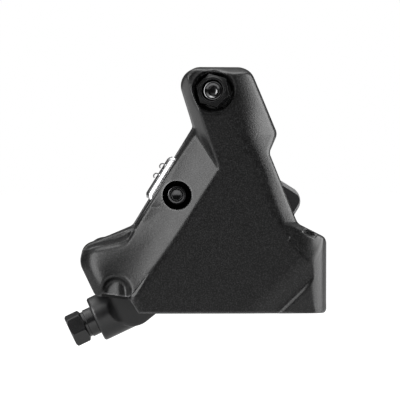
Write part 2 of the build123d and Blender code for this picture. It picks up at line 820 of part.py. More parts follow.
banjo_tip = banjo_seat - banjo_thread_length
with BuildPart() as banjo_bolt:
    with BuildSketch(at_depth(washer_places[1])):
        with Locations(banjo_place):
            Circle(banjo_bolt_radius)
    extrude(amount=washer_places[1] - banjo_tip)
    with BuildSketch(at_depth(washer_places[1] + banjo_bolt_head)):
        with Locations(banjo_place):
            RegularPolygon(banjo_bolt_hex / 2, 6, major_radius=False)
    extrude(amount=banjo_bolt_head)
    chamfer(banjo_bolt.faces().sort_by(Axis.Y)[-1].edges(), length=banjo_bolt_hex / 20)
    with BuildSketch(at_depth(disc_offset + passage_radius)):
        with Locations(banjo_place):
            Circle(passage_radius)
    extrude(amount=disc_offset + passage_radius - banjo_tip, mode=Mode.SUBTRACT)
    with BuildSketch(Plane.YZ.offset(banjo_place[0])):
        with Locations((disc_offset, banjo_place[1])):
            Circle(passage_radius)
    extrude(amount=banjo_bolt_radius, both=True, mode=Mode.SUBTRACT)

# Hose nut with its collar and thread, and the ferrule under it
with BuildPart() as hose_nut:
    with BuildSketch(barrel_plane(banjo_barrel_end)):
        Circle(nut_thread_radius)
    extrude(amount=-nut_thread_length)
    with BuildSketch(barrel_plane(banjo_barrel_end)):
        Circle(nut_collar_radius)
    extrude(amount=nut_collar_length)
    with BuildSketch(barrel_plane(banjo_barrel_end + nut_collar_length)):
        RegularPolygon(nut_hex / 2, 6, major_radius=False, rotation=nut_turn)
    extrude(amount=nut_hex_length)
    with BuildSketch(barrel_plane(banjo_barrel_end + nut_collar_length + nut_hex_length)):
        Circle(hose_radius + hose_gap)
    extrude(amount=-body_length, mode=Mode.SUBTRACT)

with BuildPart() as hose_ferrule:
    with BuildSketch(barrel_plane(banjo_barrel_end - nut_thread_length)):
        Circle(ferrule_radius)
        Circle(hose_radius + hose_gap, mode=Mode.SUBTRACT)
    extrude(amount=-ferrule_length)

pieces = {
    "outer_housing": outer_housing,
    "inner_housing": inner_housing,
    "body_bolts": body_bolts,
    "crossover_seal": crossover_seal,
    "outer_piston": piston(-1),
    "inner_piston": piston(1),
    "outer_piston_seal": piston_seal(-1),
    "inner_piston_seal": piston_seal(1),
    "pad_spring": pad_spring,
    "pad_pin": pad_pin,
    "pad_pin_clip": pad_pin_clip,
    "bleed_fitting": bleed_fitting,
    "bleed_fitting_seal": bleed_fitting_seal,
    "bleed_screw": bleed_screw,
    "bleed_screw_seal": bleed_screw_seal,
    "banjo": banjo,
    "banjo_washers": banjo_washers,
    "banjo_bolt": banjo_bolt,
    "hose_nut": hose_nut,
    "hose_ferrule": hose_ferrule,
}
for side, name in ((-1, "outer"), (1, "inner")):
    pieces[name + "_pad_lining"] = slab(lining_outline.sketch, side, lining_near, lining_thickness)
    pieces[name + "_pad_plate"] = slab(plate_outline.sketch, side, plate_near, plate_thickness)
    pieces[name + "_pad_shim"] = slab(shim_outline.sketch, side, shim_near, shim_thickness)

os.makedirs("parts", exist_ok=True)
for name, piece in pieces.items():
    piece.part.label = name
    export_step(piece.part, "parts/" + name + ".step")
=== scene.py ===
from math import atan2, cos, pi, radians, sin, tan

import bmesh
import bpy
import numpy as np
from mathutils import Matrix, Vector


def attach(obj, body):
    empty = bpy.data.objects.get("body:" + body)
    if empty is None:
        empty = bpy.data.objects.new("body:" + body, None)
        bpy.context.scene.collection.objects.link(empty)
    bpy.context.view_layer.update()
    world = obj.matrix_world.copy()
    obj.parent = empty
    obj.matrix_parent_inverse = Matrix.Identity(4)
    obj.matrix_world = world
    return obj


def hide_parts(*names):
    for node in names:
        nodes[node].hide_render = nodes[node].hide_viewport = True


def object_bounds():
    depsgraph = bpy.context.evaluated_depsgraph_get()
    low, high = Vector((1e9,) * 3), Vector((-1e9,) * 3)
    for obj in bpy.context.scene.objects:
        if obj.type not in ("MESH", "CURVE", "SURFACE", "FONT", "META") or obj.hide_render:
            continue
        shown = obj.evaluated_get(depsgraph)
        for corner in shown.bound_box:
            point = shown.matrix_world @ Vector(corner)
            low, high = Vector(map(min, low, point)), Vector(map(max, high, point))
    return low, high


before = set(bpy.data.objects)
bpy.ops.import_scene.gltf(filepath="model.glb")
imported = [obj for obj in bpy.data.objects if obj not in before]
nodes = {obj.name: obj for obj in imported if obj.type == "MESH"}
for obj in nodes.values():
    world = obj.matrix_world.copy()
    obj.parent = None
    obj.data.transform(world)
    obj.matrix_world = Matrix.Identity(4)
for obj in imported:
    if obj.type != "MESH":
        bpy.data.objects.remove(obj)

# Disc brake caliper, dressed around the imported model
# Lengths in the dictionaries are millimetres and angles are degrees
mm = 0.001
white = (1, 1, 1, 1)
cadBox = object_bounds()
scene = bpy.context.scene


# Shader helpers

noiseRoughness = 0.55
bevelSamples = 4


def newMaterial(name):
    material = bpy.data.materials.new(name)
    material.use_nodes = True
    tree = material.node_tree
    return material, tree, tree.nodes["Principled BSDF"]


def mathNode(tree, operation, *values):
    # Each value is a number or the output of another node
    node = tree.nodes.new("ShaderNodeMath")
    node.operation = operation
    for value, socket in zip(values, node.inputs):
        if isinstance(value, float):
            socket.default_value = value
        else:
            tree.links.new(value, socket)
    return node.outputs["Value"]


def noiseField(tree, size, detail=2.0, stretch=(1, 1, 1)):
    # Fractal noise whose blobs are about as wide as the size
    coords = tree.nodes.new("ShaderNodeTexCoord")
    mapping = tree.nodes.new("ShaderNodeMapping")
    mapping.inputs["Scale"].default_value = [1 / (size * mm * s) for s in stretch]
    noise = tree.nodes.new("ShaderNodeTexNoise")
    noise.inputs["Scale"].default_value = 1.0
    noise.inputs["Detail"].default_value = detail
    noise.inputs["Roughness"].default_value = noiseRoughness
    tree.links.new(coords.outputs["Object"], mapping.inputs["Vector"])
    tree.links.new(mapping.outputs["Vector"], noise.inputs["Vector"])
    return noise.outputs["Fac"]


def remap(tree, value, low, high, fromLow=0.3, fromHigh=0.7, kind="LINEAR"):
    node = tree.nodes.new("ShaderNodeMapRange")
    node.interpolation_type = kind
    node.inputs["From Min"].default_value = fromLow
    node.inputs["From Max"].default_value = fromHigh
    node.inputs["To Min"].default_value = low
    node.inputs["To Max"].default_value = high
    tree.links.new(value, node.inputs["Value"])
    return node.outputs["Result"]


def blendColours(tree, mask, first, second):
    # Each end is a colour or the output of another node
    mix = tree.nodes.new("ShaderNodeMix")
    mix.data_type = "RGBA"
    for value, socket in ((first, mix.inputs["A"]), (second, mix.inputs["B"])):
        if isinstance(value, tuple):
            socket.default_value = (*value, 1)
        else:
            tree.links.new(value, socket)
    tree.links.new(mask, mix.inputs["Factor"])
    return mix.outputs["Result"]


def edgeMask(tree, width, span):
    # 0 on flat ground and 1 on edges that a wide bevel would turn
    bevel = tree.nodes.new("ShaderNodeBevel")
    bevel.samples = bevelSamples
    bevel.inputs["Radius"].default_value = width * mm
    geometry = tree.nodes.new("ShaderNodeNewGeometry")
    dot = tree.nodes.new("ShaderNodeVectorMath")
    dot.operation = "DOT_PRODUCT"
    tree.links.new(bevel.outputs["Normal"], dot.inputs[0])
    tree.links.new(geometry.outputs["Normal"], dot.inputs[1])
    return remap(tree, dot.outputs["Value"], 1, 0, *span)


# What a look has where it gives no value of its own; without a bump size, the bump follows the grain
plainLook = dict(stretch=(1, 1, 1), toneSpan=(0.35, 0.65), toneDetail=3.0, wearAndSheen=None, wearAndSheenWidth=0.2,
                 wearAndSheenSpan=(0.80, 0.99), wearAndSheenLeast=0.15, wearAndSheenSize=1.5, roughSize=4.0, roughDetail=4.0,
                 metallic=0.0, specular=0.5, bump=0.3, bumpDepth=0.02, bumpSize=None)


def surface(name, values):
    # One finish: two tones by noise, lightened edges for wear and for painted edge highlights, spread
    # roughness and bump
    look = {**plainLook, **values}
    material, tree, shader = newMaterial(name)
    grain = noiseField(tree, look["grain"], look["toneDetail"], look["stretch"])
    tone = blendColours(tree, remap(tree, grain, 0, 1, *look["toneSpan"]), look["dark"], look["light"])
    if look["wearAndSheen"]:
        mask = edgeMask(tree, look["wearAndSheenWidth"], look["wearAndSheenSpan"])
        patchy = remap(tree, noiseField(tree, look["wearAndSheenSize"]), look["wearAndSheenLeast"], 1.0)
        tone = blendColours(tree, mathNode(tree, "MULTIPLY", mask, patchy), tone, look["wearAndSheen"])
    roughBlobs = noiseField(tree, look["roughSize"], look["roughDetail"])
    relief = noiseField(tree, look["bumpSize"] or look["grain"], stretch=look["stretch"])
    bump = tree.nodes.new("ShaderNodeBump")
    bump.inputs["Strength"].default_value = look["bump"]
    bump.inputs["Distance"].default_value = look["bumpDepth"] * mm
    shader.inputs["Metallic"].default_value = look["metallic"]
    shader.inputs["Specular IOR Level"].default_value = look["specular"]
    tree.links.new(tone, shader.inputs["Base Color"])
    tree.links.new(remap(tree, roughBlobs, *look["rough"]), shader.inputs["Roughness"])
    tree.links.new(relief, bump.inputs["Height"])
    tree.links.new(bump.outputs["Normal"], shader.inputs["Normal"])
    return material


looks = {
    "satinBlack": dict(
        grain=0.30, dark=(0.002, 0.002, 0.0021), light=(0.036, 0.036, 0.0365), toneSpan=(0.46, 0.70),
        rough=(0.28, 0.33), bump=0.7, bumpDepth=0.05, bumpSize=0.36,
        # The light edge colour here is mostly painted highlight on the ridges, creases and rounded edges,
        # with some edge wear
        wearAndSheen=(0.20, 0.20, 0.202), wearAndSheenWidth=0.7, wearAndSheenSpan=(0.88, 0.995), wearAndSheenLeast=0.6),
    "hardBlack": dict(
        grain=0.25, dark=(0.008, 0.008, 0.0085), light=(0.015, 0.015, 0.016), rough=(0.30, 0.38),
        wearAndSheen=(0.10, 0.10, 0.102), specular=0.9),
    "blackSteel": dict(
        grain=0.2, dark=(0.008, 0.008, 0.0085), light=(0.020, 0.020, 0.021), rough=(0.16, 0.24),
        bump=0.2, bumpDepth=0.008, wearAndSheen=(0.09, 0.09, 0.093), specular=1.0),
    "deepBlack": dict(
        grain=0.2, dark=(0.004, 0.004, 0.004), light=(0.009, 0.009, 0.0095), rough=(0.22, 0.30),
        bump=0.15, bumpDepth=0.006, wearAndSheen=(0.16, 0.16, 0.162), specular=0.16),
    "darkChrome": dict(
        grain=0.2, dark=(0.13, 0.13, 0.132), light=(0.20, 0.20, 0.205), metallic=1.0, rough=(0.10, 0.17),
        bump=0.15, bumpDepth=0.006, wearAndSheen=(0.35, 0.35, 0.352)),
    "brightSteel": dict(
        grain=0.15, dark=(0.52, 0.52, 0.53), light=(0.72, 0.72, 0.72), metallic=1.0, rough=(0.20, 0.32),
        bump=0.25, bumpDepth=0.006, stretch=(1, 8, 1)),
    "plateSteel": dict(
        grain=0.2, dark=(0.60, 0.60, 0.61), light=(0.80, 0.80, 0.81), metallic=1.0, rough=(0.50, 0.62),
        bump=0.25, bumpDepth=0.01, wearAndSheen=(0.75, 0.75, 0.75)),
    "shimCoat": dict(
        grain=0.3, dark=(0.020, 0.020, 0.022), light=(0.045, 0.045, 0.048), rough=(0.5, 0.65),
        wearAndSheen=(0.2, 0.2, 0.2)),
    "friction": dict(
        grain=0.45, dark=(0.05, 0.042, 0.036), light=(0.19, 0.16, 0.13), toneSpan=(0.3, 0.7),
        rough=(0.85, 0.95), bump=0.8, bumpDepth=0.08, bumpSize=0.35),
    "pistonResin": dict(
        grain=0.5, dark=(0.045, 0.030, 0.022), light=(0.085, 0.060, 0.045), rough=(0.35, 0.5)),
    "rubber": dict(
        grain=0.3, dark=(0.010, 0.010, 0.010), light=(0.022, 0.022, 0.022), rough=(0.6, 0.75), bump=0.4),
    "brass": dict(
        grain=0.25, dark=(0.42, 0.29, 0.10), light=(0.62, 0.46, 0.20), metallic=1.0, rough=(0.3, 0.45),
        bump=0.2, bumpDepth=0.01),
    "softAluminium": dict(
        grain=0.2, dark=(0.55, 0.55, 0.56), light=(0.72, 0.72, 0.73), metallic=1.0, rough=(0.32, 0.45),
        bump=0.2, bumpDepth=0.01),
}
finish = {name: surface(name, values) for name, values in looks.items()}
print("materials made:", len(finish))


# Mesh helpers

weldDistance = 0.002
tiny = 1e-6


def placed(name, data):
    # An object of the scene for a mesh, a camera or a lamp
    thing = bpy.data.objects.new(name, data)
    scene.collection.objects.link(thing)
    return thing


def addPiece(name, mesh, look, body, node, crease):
    # A finished mesh becomes a piece that stands for its node and rides on its body
    piece = placed(name, mesh)
    mesh.materials.clear()
    mesh.materials.append(finish[look])
    mesh.polygons.foreach_set("use_smooth", [True] * len(mesh.polygons))
    mesh.set_sharp_from_angle(angle=radians(crease))
    evenShade = piece.modifiers.new("evenShade", "WEIGHTED_NORMAL")
    evenShade.keep_sharp = True
    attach(piece, body)
    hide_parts(node)


def meshFrom(work, name):
    # The mesh of a bmesh, with its normals turned outwards
    bmesh.ops.recalc_face_normals(work, faces=work.faces)
    mesh = bpy.data.meshes.new(name)
    work.to_mesh(mesh)
    work.free()
    return mesh


def solidOf(name, points, faces):
    # A working object from its points and its faces
    raw = bpy.data.meshes.new(name)
    raw.from_pydata((np.array(points) * mm).tolist(), [], faces)
    work = bmesh.new()
    work.from_mesh(raw)
    bpy.data.meshes.remove(raw)
    return placed(name, meshFrom(work, name))


def cadCopy(node):
    # The node's own solid as a loose closed mesh
    mesh = nodes[node].data.copy()
    work = bmesh.new()
    work.from_mesh(mesh)
    bmesh.ops.remove_doubles(work, verts=work.verts, dist=weldDistance * mm)
    work.to_mesh(mesh)
    work.free()
    mesh.update()
    return placed(node + "Work", mesh)


def addModifier(piece, kind, **values):
    modifier = piece.modifiers.new(kind.title(), kind)
    for key, value in values.items():
        setattr(modifier, key, value)


def settled(piece):
    # The mesh after its modifiers; the working object goes
    bpy.context.view_layer.update()
    mesh = bpy.data.meshes.new_from_object(piece.evaluated_get(bpy.context.evaluated_depsgraph_get()))
    bpy.data.objects.remove(piece)
    return mesh


def cut(piece, cutter, operation="DIFFERENCE"):
    addModifier(piece, "BOOLEAN", operation=operation, solver="MANIFOLD", object=cutter)
    mesh = settled(piece)
    bpy.data.objects.remove(cutter)
    return placed("work", mesh)


def melt(piece, form):
    # Even small quads with every edge rounded by about the voxel size
    addModifier(piece, "REMESH", mode="VOXEL", voxel_size=form["voxel"] * mm)
    addModifier(piece, "SMOOTH", iterations=form["passes"], factor=form["smooth"])
    return settled(piece)


def ringMesh(name, profile, matrix, steps=120):
    # Rings up an axis: (height, radius) is round, (height, radius, across, turn) is also cut to a hexagon
    angles = [2 * pi * i / steps for i in range(steps)]
    work = bmesh.new()
    rings = []
    for height, radius, *hexagon in profile:
        if radius == 0:
            rings.append([work.verts.new((0, 0, height * mm))])
            continue
        ring = []
        for angle in angles:
            reach = radius
            if hexagon:
                across, turn = hexagon
                spread = (angle - radians(turn) + pi / 6) % (pi / 3) - pi / 6
                reach = min(radius, across / 2 / cos(spread))
            ring.append(work.verts.new((reach * cos(angle) * mm, reach * sin(angle) * mm, height * mm)))
        rings.append(ring)
    for lower, upper in zip(rings, rings[1:]):
        for i in range(steps):
            j = (i + 1) % steps
            if len(lower) == 1 and len(upper) > 1:
                work.faces.new((lower[0], upper[j], upper[i]))
            elif len(upper) == 1 and len(lower) > 1:
                work.faces.new((lower[i], lower[j], upper[0]))
            else:
                work.faces.new((lower[i], lower[j], upper[j], upper[i]))
    mesh = meshFrom(work, name)
    mesh.transform(matrix)
    return mesh


def axisMatrix(origin, along, side):
    # Local Z along the axis and local X near to side, at an origin
    up = Vector(along).normalized()
    right = (Vector(side) - up * up.dot(Vector(side))).normalized()
    forward = up.cross(right)
    matrix = Matrix((right, forward, up)).transposed().to_4x4()
    matrix.translation = Vector(origin) * mm
    return matrix


def hexCorner(across):
    # The radius at a hexagon's corners
    return across / 2 / cos(pi / 6)


def chamferRings(height, radius, across, turn, length, steps=6, rising=True):
    # Rings of a cone that trims a hexagon's corners at one end
    corner = hexCorner(across)
    rings = []
    for i in range(steps + 1):
        share = i / steps
        reach = radius + (corner - radius) * (1 - share if rising else share)
        rings.append((height + length * share, reach, across, turn))
    return rings


def crownRings(height, middle, crown, steps=9):
    # Rings of a rounded edge at the top of a head
    angles = [radians(90 * i / steps) for i in range(steps + 1)]
    return [(height - crown + crown * sin(angle), middle + crown * cos(angle)) for angle in angles]


# Outer half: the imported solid, filled out by two stock blocks and cut by a smooth front

outerForm = {
    "crease": 32,
    "grid": 0.25,
    "margin": 1.5,
    "backReach": 40,
    # The main face, the ridge on its left and how the ridge is rounded
    "face": -8.5,
    "skin": 0.04,
    "ridgeTop": (-7.07, 38.6),
    "ridgeLow": (-28.67, 5.07),
    "ridgeSoft": 0.8,
    "swooshTop": (-12.69, 54.48),
    "swooshSoft": 0.5,
    "swooshSpan": (36, 40),
    "swooshWide": 0.4,
    "swooshMiddle": 49.6,
    "swooshSpread": 3.4,
    # The facet beyond the ridge, the wall of the neck and the dish
    "leftSlope": 0.74,
    "leftHollow": 0.0105,
    "leftSink": 0.22,
    "wallTilt": 70.0,
    "wallLowTilt": 50.0,
    "wallBreak": 2.2,
    "wallSoft": 1.5,
    "valleySoft": 1.3,
    "dishLow": (-31.2, 1.8),
    "dishFall": 124.0,
    "dishTilt": 17.0,
    "dishBend": 0.03,
    "dishFlat": 11.5,
    "dishReach": 4.5,
    "dishSink": 0.35,
    "dishSoft": 3.2,
    # The facet on the right and the band at the top
    "rightEdge": [(-5.6, 65.4), (-4.8, 62.4), (-3.2, 57.5), (-2.4, 52.5), (-1.2, 47.5), (1.0, 43.3),
                  (3.6, 38.0), (5.3, 32.6), (7.3, 27.3), (9.7, 22.5), (12.5, 17.0), (16.0, 9.0)],
    "rightShare": 0.95,
    "rightSpan": (30, 62),
    "rightTiltTop": 12.0,
    "rightTiltLow": 20.0,
    "rightBow": 0.036,
    "rightEnd": (24.5, 18.5),
    "rightSoft": 0.7,
    "bandLeft": (-12.69, 64.68),
    "bandRight": (1.45, 62.78),
    "bandTilt": 64.0,
    "bandSink": 0.1,
    "bandSoft": 0.8,
    "endDrop": 4.0,
    # The foot: its corner and fold, the boss, the pocket and the slot
    "footLow": (8.92, 0.0),
    "footHigh": (21.8, 12.43),
    "footTilt": 8.0,
    "footRoll": 4.5,
    "footRollSlope": 0.04,
    "footSoft": 0.1,
    "foldDeep": 0.8,
    "foldRise": (7.0, 0.8),
    "foldFall": (0.8, -0.8),
    "foldSpan": (20.5, 17.0),
    "bossX": 14.2,
    "bossRound": 7.6,
    "bossTrim": 0.05,
    "bossSink": 0.02,
    "bossSoft": 0.5,
    "pocketLow": (11.24, 18.97),
    "pocketHigh": (15.6, 14.71),
    "pocketMiddle": (12.4, 18.6),
    "pocketTop": (9.2, 24.4),
    "pocketTopSteep": 1.2,
    "pocketTurnSoft": 1.5,
    "pocketTilt": 26.0,
    "pocketSink": 0.1,
    "pocketDrop": 0.9,
    "pocketFloorSoft": 1.0,
    "pocketEnd": (23.5, 27.0),
    "pocketSoft": 0.35,
    "slotPlace": (17.0, 21.3),
    "slotLean": (0.92, 0.39),
    "slotLong": 1.5,
    "slotWide": 0.55,
    "slotDeep": 2.2,
    # The bulge at lower left, with its crease and its niche
    "bulgeSpan": (-26.0, -31.0),
    "bulgeBlur": 1.1,
    "creaseLine": [(-42.6, 16.4), (-40.0, 17.5), (-36.0, 18.2), (-33.3, 18.8), (-31.3, 19.7), (-29.6, 22.2)],
    "creaseSpan": (-29.2, -30.4),
    "creaseDeep": 0.8,
    "creaseWide": 0.8,
    "nicheX": -34.4,
    "nicheZ": 5.9,
    "nicheRound": 4.1,
    "nicheDeep": -4.9,
    "nicheBreak": -33.5,
    "nicheBreakWide": 2.0,
    "nicheSteep": 0.42,
    "nicheSlack": 0.34,
    "nicheRise": 0.3,
    "nicheWall": 1.4,
    "nicheNear": (-2.0, -1.0),
    "nicheBlur": 0.42,
    # How far the front rolls back round the outline, and round the bleed port
    "rollLeast": 0.9,
    "rollBulge": 3.2,
    "rollBulgeX": (-33, -39),
    "rollBulgeZ": (19.5, 15.5),
    "rollBottom": 0.5,
    "rollBottomX": (-31, -28),
    "rollBottomZ": (3.0, 0.8),
    "rollHead": 0.5,
    "rollHeadZ": (40, 48),
    "bleed": (-8.73, 59.06),
    "bleedRim": 5.25,
    "bleedRimRound": 1.4,
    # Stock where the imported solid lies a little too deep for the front
    "valley": [(-42.6, 14.0), (-41.0, 7.8), (-39.2, 5.3), (-31.0, 4.3), (-29.6, 6.0), (-24.0, 13.0),
               (-20.5, 21.0), (-22.0, 28.0), (-25.4, 28.2), (-29.0, 22.4), (-31.0, 21.6), (-40.4, 18.1),
               (-42.2, 16.8)],
    "pocketFill": [(9.0, 22.0), (10.9, 18.9), (15.6, 14.2), (21.6, 12.5), (21.6, 19.4), (20.4, 20.4),
                   (14.3, 23.3), (12.3, 27.2), (9.4, 27.2)],
    "stockFront": -8.2,
    "stockBack": 0.5,
}

# Outline corners with their radii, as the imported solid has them
outerOutline = [
    (-28.42, 0.0, 0.78), (21.8, 0.0, 1.18), (21.8, 19.88, 2.49), (13.88, 23.87, 3.01),
    (6.35, 42.64, 1.96), (8.73, 47.61, 2.49), (1.12, 65.4, 4.71), (-18.38, 65.4, 4.77),
    (-13.29, 49.12, 0.59), (-29.22, 22.89, 2.49), (-42.97, 17.72, 3.66), (-44.02, 13.08, 3.99),
    (-39.92, 4.58, 1.96), (-30.67, 3.47, 0.98),
]


def roundOutline(corners, arcSteps=10):
    # The corners joined by straight runs and tangent arcs
    points = []
    count = len(corners)
    for i, (x, z, radius) in enumerate(corners):
        here = np.array((x, z))
        before = np.array(corners[i - 1][:2]) - here
        after = np.array(corners[(i + 1) % count][:2]) - here
        before = before / np.linalg.norm(before)
        after = after / np.linalg.norm(after)
        half = np.arccos(np.clip(before @ after, -1, 1)) / 2
        middle = (before + after) / np.linalg.norm(before + after)
        centre = here + middle * radius / sin(half)
        start = here + before * radius / tan(half) - centre
        end = here + after * radius / tan(half) - centre
        turn = atan2(start[0] * end[1] - start[1] * end[0], start @ end)
        for k in range(arcSteps + 1):
            angle = turn * k / arcSteps
            points.append(centre + (start[0] * cos(angle) - start[1] * sin(angle),
                                    start[0] * sin(angle) + start[1] * cos(angle)))
    return np.array(points)


def insideDistance(x, z, outline):
    # Distance to the outline, positive inside it
    best = np.full(x.shape, np.inf)
    inside = np.zeros(x.shape, bool)
    for (ax, az), (bx, bz) in zip(outline, np.roll(outline, -1, axis=0)):
        ex, ez = bx - ax, bz - az
        share = np.clip(((x - ax) * ex + (z - az) * ez) / max(ex * ex + ez * ez, tiny ** 2), 0, 1)
        best = np.minimum(best, np.hypot(x - ax - share * ex, z - az - share * ez))
        crosses = (az > z) != (bz > z)
        if az != bz:
            inside ^= crosses & (x < ax + (z - az) / (bz - az) * (bx - ax))
    return np.where(inside, best, -best)


def softMax(a, b, width):
    blend = np.clip(width - np.abs(a - b), 0, None) / width
    return np.maximum(a, b) + blend * blend * width / 4


def softMin(a, b, width):
    return -softMax(-a, -b, width)


def beyond(x, z, start, end):
    # Distance to the left of the line from start to end
    run = np.array(end) - np.array(start)
    run = run / np.hypot(*run)
    return (x - start[0]) * -run[1] + (z - start[1]) * run[0]


def smoothStep(value, low, high):
    share = np.clip((value - low) / (high - low), 0, 1)
    return share * share * (3 - 2 * share)


def slope(degrees):
    return tan(radians(degrees))


def leftSide(x, z, form, face):
    # The slanted facet, the dish below it and the wall of the neck
    ridge = beyond(x, z, form["ridgeLow"], form["ridgeTop"])
    facet = face + form["leftSink"] + form["leftSlope"] * ridge - form["leftHollow"] * ridge * np.abs(ridge)
    fall = radians(form["dishFall"])
    reach = (x - form["dishLow"][0]) * cos(fall) + (z - form["dishLow"][1]) * sin(fall)
    dish = face + form["dishSink"] + slope(form["dishTilt"]) * reach
    dish = dish + form["dishBend"] * np.clip(reach - form["dishFlat"], 0, form["dishReach"]) ** 2
    off = beyond(x, z, form["ridgeTop"], form["swooshTop"])
    steep, slack, turn = slope(form["wallTilt"]), slope(form["wallLowTilt"]), form["wallBreak"]
    wall = softMin(face + steep * off, face + slack * (off - turn) + steep * turn, form["wallSoft"])
    return softMin(softMin(facet, dish, form["dishSoft"]), wall, form["valleySoft"])


def ridgeRound(z, form):
    # How softly the main face turns into the left side, by height
    soft = form["ridgeSoft"] + (form["swooshSoft"] - form["ridgeSoft"]) * smoothStep(z, *form["swooshSpan"])
    return soft + form["swooshWide"] * np.exp(-((z - form["swooshMiddle"]) / form["swooshSpread"]) ** 2)


def rightSide(x, z, form, face):
    # The facet that bends away towards the right outline
    edges, heights = zip(*reversed(form["rightEdge"]))
    over = (x - np.interp(z, heights, edges)) * form["rightShare"]
    low, top = form["rightTiltLow"], form["rightTiltTop"]
    lean = low + (top - low) * smoothStep(z, *form["rightSpan"])
    side = face + np.tan(np.radians(lean)) * over + form["rightBow"] * over * np.abs(over)
    return side - form["endDrop"] * smoothStep(z, *form["rightEnd"])


def addFootCorner(x, z, front, form, face):
    # The lower right corner falls back past its line, and a soft fold runs before it
    before = beyond(x, z, form["footLow"], form["footHigh"])
    roll = form["footRoll"] - np.clip(before, 0, form["footRoll"])
    corner = face + form["footRollSlope"] / 2 / form["footRoll"] * roll ** 2
    corner = corner + slope(form["footTilt"]) * np.clip(-before, 0, None)
    front = softMax(front, corner, form["footSoft"])
    fold = form["foldDeep"] * (smoothStep(before, *form["foldRise"]) - smoothStep(before, *form["foldFall"]))
    return front + np.clip(fold, 0, None) * smoothStep(x, *form["foldSpan"])


def addBossAndPocket(x, z, front, form, face):
    # The round boss at the right end and the pocket that runs into it from above
    over = np.clip(x - form["bossX"], 0, form["bossRound"] - form["bossTrim"])
    boss = form["face"] + form["bossRound"] - np.sqrt(form["bossRound"] ** 2 - over ** 2)
    reach = softMin(-beyond(x, z, form["pocketHigh"], form["pocketLow"]),
                    -form["pocketTopSteep"] * beyond(x, z, form["pocketMiddle"], form["pocketTop"]),
                    form["pocketTurnSoft"])
    pocket = face + form["pocketSink"] + slope(form["pocketTilt"]) * reach
    pocket = softMin(pocket, boss + form["pocketDrop"], form["pocketFloorSoft"])
    pocket = pocket - form["endDrop"] * smoothStep(z, *form["pocketEnd"])
    front = softMax(front, pocket, form["pocketSoft"])
    return softMax(front, boss + form["bossSink"], form["bossSoft"])


def slotDent(x, z, form):
    middleX, middleZ = form["slotPlace"]
    across, down = form["slotLean"]
    along = (x - middleX) * across - (z - middleZ) * down
    off = (x - middleX) * down + (z - middleZ) * across
    return form["slotDeep"] * np.exp(-(along / form["slotLong"]) ** 4 - (off / form["slotWide"]) ** 4)


def outerFront(x, z, form):
    # Where the front lies at each place of the grid, before its edges are rolled
    face = form["face"] + form["skin"]
    front = softMax(np.full(x.shape, face), leftSide(x, z, form, face), ridgeRound(z, form))
    front = softMax(front, rightSide(x, z, form, face), form["rightSoft"])
    above = beyond(x, z, form["bandRight"], form["bandLeft"])
    front = softMax(front, face + form["bandSink"] - slope(form["bandTilt"]) * above, form["bandSoft"])
    front = addFootCorner(x, z, front, form, face)
    front = addBossAndPocket(x, z, front, form, face)
    return front + slotDent(x, z, form)


def blurred(field, cells):
    # The field smoothed over a number of grid cells
    reach = int(3 * cells) + 1
    weights = np.exp(-0.5 * (np.arange(-reach, reach + 1) / cells) ** 2)
    weights = weights / weights.sum()
    for axis in (0, 1):
        ends = [(reach, reach) if side == axis else (0, 0) for side in (0, 1)]
        padded = np.pad(field, ends, mode="edge")
        field = np.apply_along_axis(lambda line: np.convolve(line, weights, mode="valid"), axis, padded)
    return field


def nicheFloor(x, z, form):
    left = form["nicheBreak"] - x
    steep = form["nicheSteep"] * np.clip(left, 0, form["nicheBreakWide"])
    slack = form["nicheSlack"] * np.clip(left - form["nicheBreakWide"], 0, None)
    return form["nicheDeep"] + steep + slack + form["nicheRise"] * (z - form["nicheZ"])


def shapeBulge(x, z, front, form):
    # Every edge of the bulge melts, then its crease and its niche are cut
    soft = smoothStep(x, *form["bulgeSpan"])
    front = front + soft * (blurred(front, form["bulgeBlur"] / form["grid"]) - front)
    creaseX, creaseZ = zip(*form["creaseLine"])
    above = z - np.interp(x, creaseX, creaseZ)
    fade = smoothStep(x, *form["creaseSpan"])
    front = front + fade * form["creaseDeep"] * np.exp(-(above / form["creaseWide"]) ** 2)
    arch = form["nicheRound"] - np.hypot(x - form["nicheX"], np.maximum(z - form["nicheZ"], 0))
    share = smoothStep(arch, 0.0, form["nicheWall"])
    carved = np.maximum(front, front + share * (nicheFloor(x, z, form) - front))
    near = smoothStep(arch, *form["nicheNear"])
    return carved + near * (blurred(carved, form["nicheBlur"] / form["grid"]) - carved)


def rolledBack(front, radius, inside):
    # The front turned back over a quarter circle that ends on an edge
    depth = np.clip(radius - inside, 0, radius)
    return front + radius - np.sqrt(radius ** 2 - depth ** 2)


def rollRadius(x, z, form):
    bulge = smoothStep(x, *form["rollBulgeX"]) * smoothStep(z, *form["rollBulgeZ"])
    bottom = smoothStep(z, *form["rollBottomZ"]) * smoothStep(x, *form["rollBottomX"])
    head = smoothStep(z, *form["rollHeadZ"])
    radius = form["rollLeast"] + form["rollBulge"] * bulge + form["rollHead"] * head
    return radius - form["rollBottom"] * bottom


def stockBlock(outline, form):
    count = len(outline)
    points = [(x, form["stockFront"], z) for x, z in outline]
    points += [(x, form["stockBack"], z) for x, z in outline]
    faces = [tuple(range(count)), tuple(range(2 * count - 1, count - 1, -1))]
    faces += [(i, i + count, (i + 1) % count + count, (i + 1) % count) for i in range(count)]
    return solidOf("stockBlock", points, faces)


